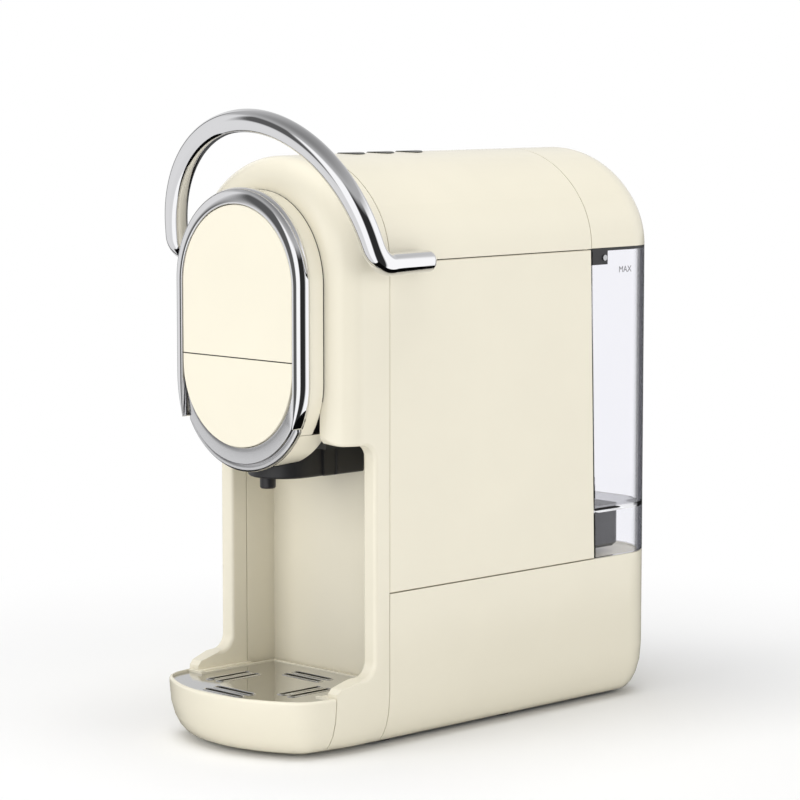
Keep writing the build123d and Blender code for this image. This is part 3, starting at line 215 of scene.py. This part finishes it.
# Camera at the photograph's place, with no roll and no shift.
azimuth, elevation = math.radians(45.3), math.radians(6.4)
eye = Vector((1.11125, -1.10408, 0.33689))
flat = math.cos(elevation)
back = Vector((math.sin(azimuth) * flat, -math.cos(azimuth) * flat, math.sin(elevation)))
right = Vector((math.cos(azimuth), math.sin(azimuth), 0))
axes = Matrix((right, back.cross(right), back)).transposed()
camera = bpy.data.objects.new("photo_camera", bpy.data.cameras.new("photo_camera"))
bpy.context.scene.collection.objects.link(camera)
camera.matrix_world = Matrix.Translation(eye) @ axes.to_4x4()
camera.data.sensor_width = 36.0
camera.data.lens = 139.7
camera.data.clip_end = 20.0
bpy.context.scene.camera = camera

# World: white behind the machine and soft as fill light. Reflections and refractions see a studio with
# upright strips round the set, measured in degrees from the front towards the right, and a grey ceiling.
# A Mix node's sockets go by number: 0 is its factor, 2 and 3 are its numbers, 6 and 7 its colours.
world = bpy.data.worlds.new("studio")
bpy.context.scene.world = world
world.use_nodes = True
tree = world.node_tree
tree.nodes.clear()
rays = add(tree, "LightPath")
aim = add(tree, "SeparateXYZ", {0: (add(tree, "TexCoord"), "Generated")})
ahead = add(tree, "Math", {0: (aim, "Y"), 1: -1.0}, operation="MULTIPLY")
bearing = add(tree, "Math", {0: (aim, "X"), 1: (ahead, 0)}, operation="ARCTAN2")
turn = add(tree, "MapRange", {"Value": (bearing, 0), "From Min": -math.pi, "From Max": math.pi})


def strips(behind, front_left):
    """Brightness by bearing: from behind, round by the left, the front and the right, to behind again. The
    strip behind and the one at the front left differ by height."""
    levels = [
        (-180, behind), (-126, behind), (-120, 0.85), (-107, 0.85), (-103, 0.12), (-94, 0.12), (-90, 0.85),
        (-52, 0.88), (-46, front_left), (-22, front_left), (-14, 1.2), (40, 1.2), (50, 0.03), (114, 0.03),
        (124, 1.2), (167, 1.2), (175, behind)]
    return add(tree, "ValToRGB", {"Fac": (turn, "Result")},
               [((degree + 180) / 360, (grey, grey, grey, 1)) for degree, grey in levels])


floor_level = strips(behind=0.08, front_left=0.85)
eye_level = strips(behind=0.08, front_left=0.12)
wall_level = strips(behind=0.7, front_left=0.12)
to_eye = add(tree, "MapRange", {"Value": (aim, "Z"), "From Min": -0.24, "From Max": -0.14})
to_wall = add(tree, "MapRange", {"Value": (aim, "Z"), "From Min": -0.03, "From Max": 0.03})
lower = add(tree, "Mix", {
    0: (to_eye, "Result"), 6: (floor_level, "Color"), 7: (eye_level, "Color")}, data_type="RGBA")
round_set = add(tree, "Mix", {
    0: (to_wall, "Result"), 6: (lower, 2), 7: (wall_level, "Color")}, data_type="RGBA")
ceiling = add(tree, "MapRange", {
    "Value": (aim, "Z"), "From Min": 0.70, "From Max": 1.0, "To Min": 0.50, "To Max": 0.28})
lift = add(tree, "MapRange", {"Value": (aim, "Z"), "From Min": 0.42, "From Max": 0.62})
mirror = add(tree, "Mix", {
    0: (lift, "Result"), 2: (round_set, 2), 3: (ceiling, "Result")}, data_type="FLOAT")
bent = add(tree, "Math", {
    0: (rays, "Is Glossy Ray"), 1: (rays, "Is Transmission Ray")}, operation="MAXIMUM")
fill = add(tree, "Mix", {0: (bent, 0), 2: 0.42, 3: (mirror, 0)}, data_type="FLOAT")
level = add(tree, "Mix", {0: (rays, "Is Camera Ray"), 2: (fill, 0), 3: 1.0}, data_type="FLOAT")
sky = add(tree, "Background", {"Color": (1, 1, 1, 1), "Strength": (level, 0)})
tree.links.new(sky.outputs[0], add(tree, "OutputWorld").inputs[0])


def lamp(name, place, target, size, watts):
    """A square soft box that faces its target. Reflections see the world's strips in its place."""
    light = bpy.data.lights.new(name, "AREA")
    light.shape = "SQUARE"
    light.size = size
    light.energy = watts
    box = bpy.data.objects.new(name, light)
    bpy.context.scene.collection.objects.link(box)
    facing = (Vector(place) - Vector(target)).to_track_quat("Z", "Y").to_matrix().to_4x4()
    box.matrix_world = Matrix.Translation(place) @ facing
    box.visible_glossy = False


lamp("key_box", (-0.5, -2.1, 0.75), (0, -0.05, 0.12), 1.4, 16.6)
lamp("side_box", (2.1, 0.3, 0.36), (0, 0.03, 0.12), 1.3, 11.6)
lamp("corner_box", (1.25, -1.5, 0.6), (0, -0.05, 0.12), 1.0, 5.5)
lamp("top_box", (0.0, -0.2, 1.7), (0, 0, 0.2), 1.3, 16.5)

# Sizes of the brew head's face in millimetres, as in the CAD part. Face and ring are half rounds above and
# below, joined by straight sides.
face_half_width = 39.4
face_upper_centre_z = 225.2
face_lower_centre_z = 186.4
face_split_z = 190.6
ring_half_width = 45.5
ring_upper_centre_z = 227.0
ring_lower_centre_z = 180.5
ring_tip_z = 159.0
trim_back_y = -109.0


def grid_piece(name, grid, material, around=False, capped=False, looped=False):
    """A mesh from a grid of points, u by v by 3: quads between neighbours, closed round v, and capped at the
    two ends of u or closed round u, if asked."""
    rows, columns = grid.shape[:2]
    index = np.arange(rows * columns).reshape(rows, columns)
    if around:
        index = np.concatenate([index, index[:, :1]], 1)
    if looped:
        index = np.concatenate([index, index[:1]])
    corners = [index[:-1, :-1], index[1:, :-1], index[1:, 1:], index[:-1, 1:]]
    faces = np.stack(corners, -1).reshape(-1, 4).tolist()
    if capped:
        first = np.arange(columns)
        last = first + (rows - 1) * columns
        faces += [first.tolist(), last[::-1].tolist()]
    mesh = bpy.data.meshes.new(name)
    mesh.from_pydata(grid.reshape(-1, 3).tolist(), [], faces)
    mesh.materials.append(material)
    mesh.polygons.foreach_set("use_smooth", np.ones(len(mesh.polygons), bool))
    piece = bpy.data.objects.new(name, mesh)
    bpy.context.scene.collection.objects.link(piece)
    return piece


def unit(vectors):
    """Vectors divided by their lengths."""
    return vectors / np.linalg.norm(vectors, axis=-1, keepdims=True)


def mirrored(run, signs=1):
    """A right half and then its mirror image from the crown down, without the crown's row a second time."""
    return np.concatenate([run, run[-2::-1] * signs])


def rounded_square(half, power, count):
    """Superellipses |a|^n + |b|^n = half^n, one row for each power n: a = half sign(cos t) |cos t|^(2/n), and
    b is the same of the sine."""
    t = np.linspace(0, 2 * np.pi, count, endpoint=False)
    waves = np.cos(t), np.sin(t)
    return tuple(half * np.sign(wave) * np.abs(wave) ** (2 / power[:, None]) for wave in waves)


def handle_rod():
    """Rounded-square section carried along the bent rod, almost round in the stub. The right half runs
    forward from the stub's rear end, where the section grows as a quarter round, then round a bend
    p = bend start + r (sin b along + (1 - cos b) inward), up a short leg and over a ring
    p = centre + R (cos a sideways + sin a rise) to its crown. The left half mirrors it."""
    half, end_radius, bend_radius, ring_radius = 5.4, 5.1, 11.0, 71.0
    stub_power, leg_power, crown_power = 2.15, 2.35, 2.7
    tilt, spring = np.radians(14.7), np.radians(12.0)
    start, bend_z = np.array([62.0, -44.5, 237.0]), 237.4
    centre = np.array([0, -89.0, 235.6])
    sideways = np.array([1.0, 0, 0])
    rise = np.array([0, -np.sin(tilt), np.cos(tilt)])

    # The corner where the stub's line meets the leg's, and how far before it the bend starts.
    outward = np.cos(spring) * sideways + np.sin(spring) * rise
    foot = centre + ring_radius * outward
    drop = (foot[2] - bend_z) / rise[2]
    corner = foot - drop * rise + drop * np.tan(spring) * sideways
    along, upward = unit(corner - start), unit(foot - corner)
    inward = unit(upward - along.dot(upward) * along)
    bend_angle = np.arccos(along.dot(upward))
    bend_start = corner - bend_radius * np.tan(bend_angle / 2) * along

    # Rows of the right half: the quarter round by e, the bend by b and the ring by a.
    e = np.linspace(0, np.pi / 2, 13)[:, None]
    b = np.linspace(0, bend_angle, 17)[:, None]
    a = np.linspace(spring, np.pi / 2, 44)[:, None]
    end = start + end_radius * (1 - np.cos(e)) * along
    bend = bend_start + bend_radius * (np.sin(b) * along + (1 - np.cos(b)) * inward)
    ring_side = np.cos(a) * sideways + np.sin(a) * rise
    line = np.concatenate([end, bend, centre + ring_radius * ring_side])
    course = np.concatenate([
        0 * end + along, np.cos(b) * along + np.sin(b) * inward, -np.sin(a) * sideways + np.cos(a) * rise])
    stub_side = -unit(np.cross(along, [0, 0, 1]))
    share = b / bend_angle
    side = np.concatenate([0 * end + stub_side, (1 - share) * stub_side + share * outward, ring_side])
    size = np.concatenate([1 - end_radius / half * (1 - np.sin(e)), 0 * b + 1, 0 * a + 1])
    power = np.concatenate([
        np.full(len(e), stub_power), np.linspace(stub_power, leg_power, len(b)),
        np.linspace(leg_power, crown_power, len(a))])

    line, side = mirrored(line, (-1, 1, 1)), mirrored(side, (-1, 1, 1))
    course = mirrored(course, (1, -1, -1))
    side = unit(side - (side * course).sum(-1, keepdims=True) * course)
    front = np.cross(side, course)
    across, over = rounded_square(half, mirrored(power), 56)
    section = across[..., None] * side[:, None, :] + over[..., None] * front[:, None, :]
    points = line[:, None, :] + mirrored(size)[..., None] * section
    return grid_piece("handle_rod", MM * points, chrome, around=True, capped=True)


def upright(flat, depth):
    """Points given in X and Z, with their Y, in metres."""
    return MM * np.stack([flat[..., 0], np.broadcast_to(depth, flat.shape[:2]), flat[..., 1]], -1)


def round_points(radius, centre_z, angle):
    """Points in X and Z on a circle about the middle line: x = r cos a, z = centre + r sin a."""
    return np.stack([radius * np.cos(angle), centre_z + radius * np.sin(angle)], -1)


def over_top(leg, arc):
    """An outline up the right leg, over an arc and down the left leg."""
    return np.concatenate([leg, arc, leg[::-1] * (-1, 1)])


def band(name, inner, outer, share, height, material):
    """A section carried between two outlines in X and Z: point = inner + share (outer - inner), and its
    height stands forward of the trim's back."""
    flat = inner[:, None, :] + share[::-1, None] * (outer - inner)[:, None, :]
    return grid_piece(name, upright(flat, trim_back_y - height[::-1]), material, around=True, capped=True)


def face_ring():
    """Polished ring round the upper face: a superellipse quarter x^n + h^n = 1 from a crowned front to the
    outer edge, carried up one leg, over the round top and down the other leg. The legs' tips follow the
    lower round."""
    inner_half_width, tall, power = face_half_width + 0.05, 6.5, 3.6
    s = np.linspace(0, 1, 30) ** 1.4
    inner_z = ring_tip_z + (face_upper_centre_z - ring_tip_z) * s
    outer_z = ring_tip_z + (ring_upper_centre_z - ring_tip_z) * s
    drop = np.clip(ring_lower_centre_z - outer_z, 0, None)
    inner_leg = np.stack([0 * s + inner_half_width, inner_z], -1)
    outer_leg = np.stack([np.sqrt(ring_half_width ** 2 - drop ** 2), outer_z], -1)
    a = np.linspace(0, np.pi, 81)[1:-1]
    inner = over_top(inner_leg, round_points(inner_half_width, face_upper_centre_z, a))
    outer = over_top(outer_leg, round_points(ring_half_width, ring_upper_centre_z, a))
    # The inner wall and its softened edge, as shares of width and height, come before the crowned front.
    wall_share, wall_height = [0, 0, 0.012, 0.045, 0.10], [0, 0.90, 0.955, 0.985, 0.998]
    q = np.linspace(0.12, np.pi / 2, 26)
    share = np.concatenate([wall_share, np.sin(q) ** (2 / power)])
    height = tall * np.concatenate([wall_height, np.cos(q) ** (2 / power)])
    return band("face_ring", inner, outer, share, height, chrome)


def drawer_crescent():
    """Satin crescent below the drawer's face: its front falls away outwards and steps down to a rolled rim.
    Each ray from the face's lower centre ends on the lower round, at -d sin a + sqrt(R^2 - (d cos a)^2) with
    d between the two centres, or before the ring's leg."""
    leg_x = 39.1
    # Share of the way out and height over the back, in millimetres.
    profile = np.array([
        (0, 0), (0, 4.80), (0.012, 4.93), (0.04, 5.0), (0.2, 4.92), (0.4, 4.72), (0.56, 4.46), (0.64, 4.28),
        (0.662, 4.18), (0.672, 3.95), (0.676, 2.75), (0.69, 2.65), (0.72, 2.72), (0.76, 2.80), (0.81, 2.82),
        (0.86, 2.76), (0.91, 2.58), (0.955, 2.26), (0.985, 1.85), (1, 1.3), (1, 0)])
    share, height = profile.T
    a = np.radians(np.linspace(-167.7, -12.3, 141))
    ray = np.stack([np.cos(a), np.sin(a)], -1)
    d = face_lower_centre_z - ring_lower_centre_z
    to_round = -d * np.sin(a) + np.sqrt(ring_half_width ** 2 - (d * np.cos(a)) ** 2)
    reach = np.minimum(to_round, leg_x / np.abs(np.cos(a)))
    centre = np.array([0, face_lower_centre_z])
    inner, outer = centre + face_half_width * ray, centre + reach[:, None] * ray
    return band("drawer_crescent", inner, outer, share, height, bezel_satin)


def printed_mark():
    """Level mark on the tank's right wall: letters made a mesh, their x to Y, y to Z and z to X, with the
    middle of their thickness 0.04 mm off the wall."""
    letter_size, half_thickness, weld = 4.6, 0.03, 0.001
    place = (56.04, 98.6, 224.0)
    curve = bpy.data.curves.new("level_letters", "FONT")
    curve.body = "MAX"
    curve.size = letter_size
    curve.extrude = half_thickness
    source = bpy.data.objects.new("level_letters", curve)
    bpy.context.scene.collection.objects.link(source)
    bpy.context.view_layer.update()
    mesh = bpy.data.meshes.new_from_object(source)
    bpy.data.objects.remove(source)
    joined = bmesh.new()
    joined.from_mesh(mesh)
    bmesh.ops.remove_doubles(joined, verts=joined.verts, dist=weld)
    joined.to_mesh(mesh)
    joined.free()
    points = np.empty(3 * len(mesh.vertices))
    mesh.vertices.foreach_get("co", points)
    points = points.reshape(-1, 3)[:, (2, 0, 1)] + place
    mesh.vertices.foreach_set("co", (MM * points).ravel())
    mesh.materials.clear()
    mesh.materials.append(print_grey)
    piece = bpy.data.objects.new("level_letters", mesh)
    bpy.context.scene.collection.objects.link(piece)
    return piece


def slot_rims():
    """Rolled rims round the grid's eight slots: half an ellipse, offset = m + r cos v and height = h sin v,
    closed underneath and carried round each slot's outline, which is two straight runs and two half circles.
    The slots lie in pairs, a quarter turn apart."""
    slot_radius, half_run, pitch, pair_radius = 1.5, 11.5, 7.0, 26.0
    rim_middle, rim_half, rim_height = 0.62, 0.6, 0.4
    grid_y, grid_z = -95.0, 28.28
    t = np.linspace(0, 2 * np.pi, 40, endpoint=False)
    away = np.stack([np.cos(t), np.sin(t)], -1)
    outline = slot_radius * away
    outline[:, 1] += half_run * np.sign(np.sin(t))
    v = np.linspace(0, np.pi, 9)
    flat = outline[:, None, :] + away[:, None, :] * (rim_middle + rim_half * np.cos(v))[:, None]
    rise = np.broadcast_to(grid_z + rim_height * np.sin(v), flat.shape[:2])
    rims = []
    for i in range(8):
        a = i // 2 * np.pi / 2
        x, y = flat[..., 0] + pair_radius + (i % 2 - 0.5) * pitch, flat[..., 1]
        place = np.stack([x * np.cos(a) - y * np.sin(a), x * np.sin(a) + y * np.cos(a) + grid_y, rise], -1)
        rims.append(grid_piece("slot_rim_%d" % (i + 1), MM * place, grid_steel, around=True, looped=True))
    return rims


def gap_line(name, points, width, deep, material):
    """Flat dark strip in a parting gap, painted shade that darkens the seam: a rectangle of width by depth
    carried along a line of points in X and Z.
    """
    run = unit(np.gradient(points, axis=0))
    across = np.stack([-run[:, 1], run[:, 0]], -1)
    out = np.array([1, 1, -1, -1])[:, None] * width / 2
    flat = points[:, None, :] + out * across[:, None, :]
    front, rear = deep
    depth = np.array([front, rear, rear, front])
    return grid_piece(name, upright(flat, depth), material, around=True, capped=True)


def collar_gap_shade():
    """Dark strip in the gap between collar and hood, painted shade that darkens the seam, along the collar's
    outline: the ends of its lower round, two legs and a round top."""
    radius, width, deep = 43.6, 0.9, (-99.15, -98.75)
    low = round_points(radius, ring_lower_centre_z, np.radians(np.linspace(-12, 0, 7))[:-1])
    z = np.linspace(ring_lower_centre_z, ring_upper_centre_z, 12)[:-1]
    leg = np.concatenate([low, np.stack([0 * z + radius, z], -1)])
    top = round_points(radius, ring_upper_centre_z, np.linspace(0, np.pi, 61))
    return gap_line("collar_gap_shade", over_top(leg, top), width, deep, rubber)


def face_gap_shade():
    """Dark strip behind the gap between the two halves of the face, painted shade that darkens the seam."""
    half_length, width, deep = 38.9, 0.44, (-114.7, -112.0)
    x = np.linspace(-half_length, half_length, 5)
    return gap_line("face_gap_shade", np.stack([x, 0 * x + face_split_z], -1), width, deep, rubber)


def smooth_bands(node):
    """Even shading over a lofted CAD skin: its loose triangles are joined, and edges over 30 degrees stay
    sharp."""
    node.modifiers.new("join", "WELD").merge_threshold = 0.01 * MM
    node.modifiers.new("sharp", "EDGE_SPLIT").split_angle = math.radians(30)
    node.modifiers.new("even", "WEIGHTED_NORMAL").mode = "FACE_AREA_WITH_ANGLE"


for name in ("base_housing", "front_shell", "drip_tray"):
    smooth_bands(nodes[name])
# The clear tank lets the light through, so it casts no shadow.
nodes["water_tank"].visible_shadow = False
rod = handle_rod()
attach(rod, "handle")
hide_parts("handle_bail")
ring = face_ring()
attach(ring, "machine")
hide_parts("upper_ring_trim")
crescent = drawer_crescent()
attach(crescent, "drawer")
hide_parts("drawer_bezel")
letters = printed_mark()
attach(letters, "tank")
for rim in slot_rims():
    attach(rim, "grid")
# The two dark strips in the parting gaps are painted shade.
for gap_shade in (collar_gap_shade(), face_gap_shade()):
    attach(gap_shade, "machine")


def level_grid(half_x, near_y, far_y, z):
    """Nine points of a level rectangle, three by three."""
    x, y = np.meshgrid(np.linspace(-half_x, half_x, 3), np.linspace(near_y, far_y, 3), indexing="ij")
    return np.stack([x, y, 0 * x + z], -1)


# Pale floor that fades into the white background about half a metre out, with the shadow near the machine.
floor_finish, tree, out, place = blank("pale_floor")
reach = add(tree, "VectorMath", {0: (place, "Object")}, operation="LENGTH")
fade = add(tree, "MapRange", {
    "Value": (reach, "Value"), "From Min": 0.13, "From Max": 0.48}, interpolation_type="SMOOTHSTEP")
matt = add(tree, "BsdfDiffuse", {"Color": linear("#f4f4f4")})
glow = add(tree, "Emission", {"Color": (1, 1, 1, 1), "Strength": 1.0})
blend = add(tree, "MixShader", {0: (fade, "Result"), 1: (matt, 0), 2: (glow, 0)})
tree.links.new(blend.outputs[0], out.inputs[0])
floor = grid_piece("floor", level_grid(6.0, -6.0, 6.0, 0.0), floor_finish)
floor.visible_glossy = False

# Black flag on the floor, which only reflections see: it gives the polished parts their dark lower edges.
flag_finish, tree, out = blank("black_flag")[:3]
felt = add(tree, "BsdfDiffuse", {"Color": linear("#0a0a0a")})
tree.links.new(felt.outputs[0], out.inputs[0])
flag = grid_piece("floor_flag", level_grid(0.25, -0.2, 0.6, 0.5 * MM), flag_finish)
flag.visible_camera = flag.visible_diffuse = flag.visible_transmission = flag.visible_shadow = False

bpy.context.scene.view_settings.view_transform = "Standard"
